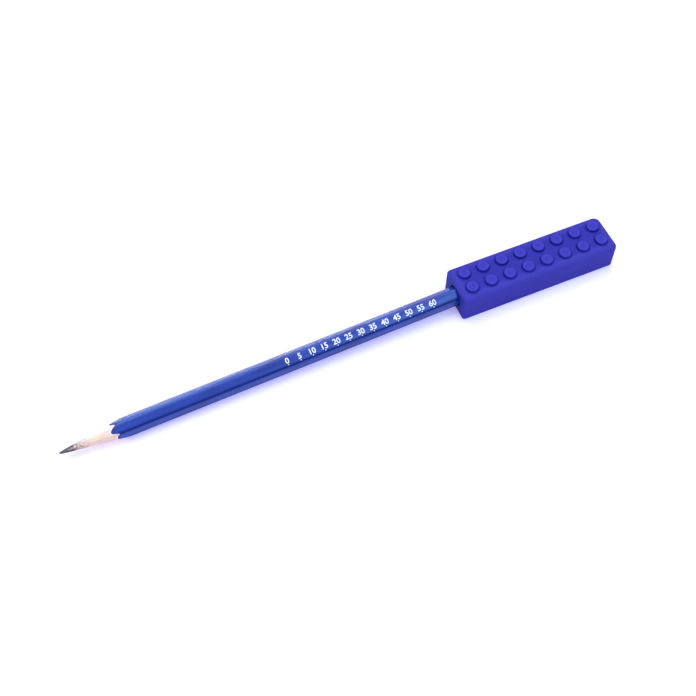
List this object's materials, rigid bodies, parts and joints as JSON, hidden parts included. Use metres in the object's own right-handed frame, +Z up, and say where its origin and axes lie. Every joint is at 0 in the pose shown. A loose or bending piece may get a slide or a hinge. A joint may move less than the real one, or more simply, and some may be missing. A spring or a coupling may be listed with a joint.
{
  "type": "pencil with chewable topper",
  "caption": "Hexagonal wooden pencil with a soft stud-block chew topper that pushes over its eraser end and pulls off along the barrel.",
  "frame": {"origin": "middle of the topper's flat underside", "axes": "+X along the topper from its mouth to its closed end, so the pencil points to -X; +Z up, through the studs; +Y to the side away from the picture's viewer"},
  "size_m": [0.2248, 0.0166, 0.0138],
  "materials": {
    "topper": "satin soft-touch moulded elastomer, royal blue",
    "graphite": "dark grey graphite with a dull metallic sheen",
    "wood": "bare pale basswood, freshly sharpened",
    "lacquer": "glossy blue lacquer",
    "ferrule": "bright rolled aluminium",
    "eraser": "matte pink rubber"
  },
  "bodies": {
    "pencil": {"graphite_lead": "graphite", "casing_slat_upper": "wood", "casing_slat_lower": "wood", "lacquer_coat": "lacquer", "ferrule": "ferrule", "eraser": "eraser"},
    "topper": {"topper": "topper"}
  },
  "joints": [
    {"name": "topper_pull", "type": "slide", "parent": "pencil", "child": "topper", "axis": [0.9997, 0.0195, 0.0164], "range_m": [0, 0.045]}
  ]
}
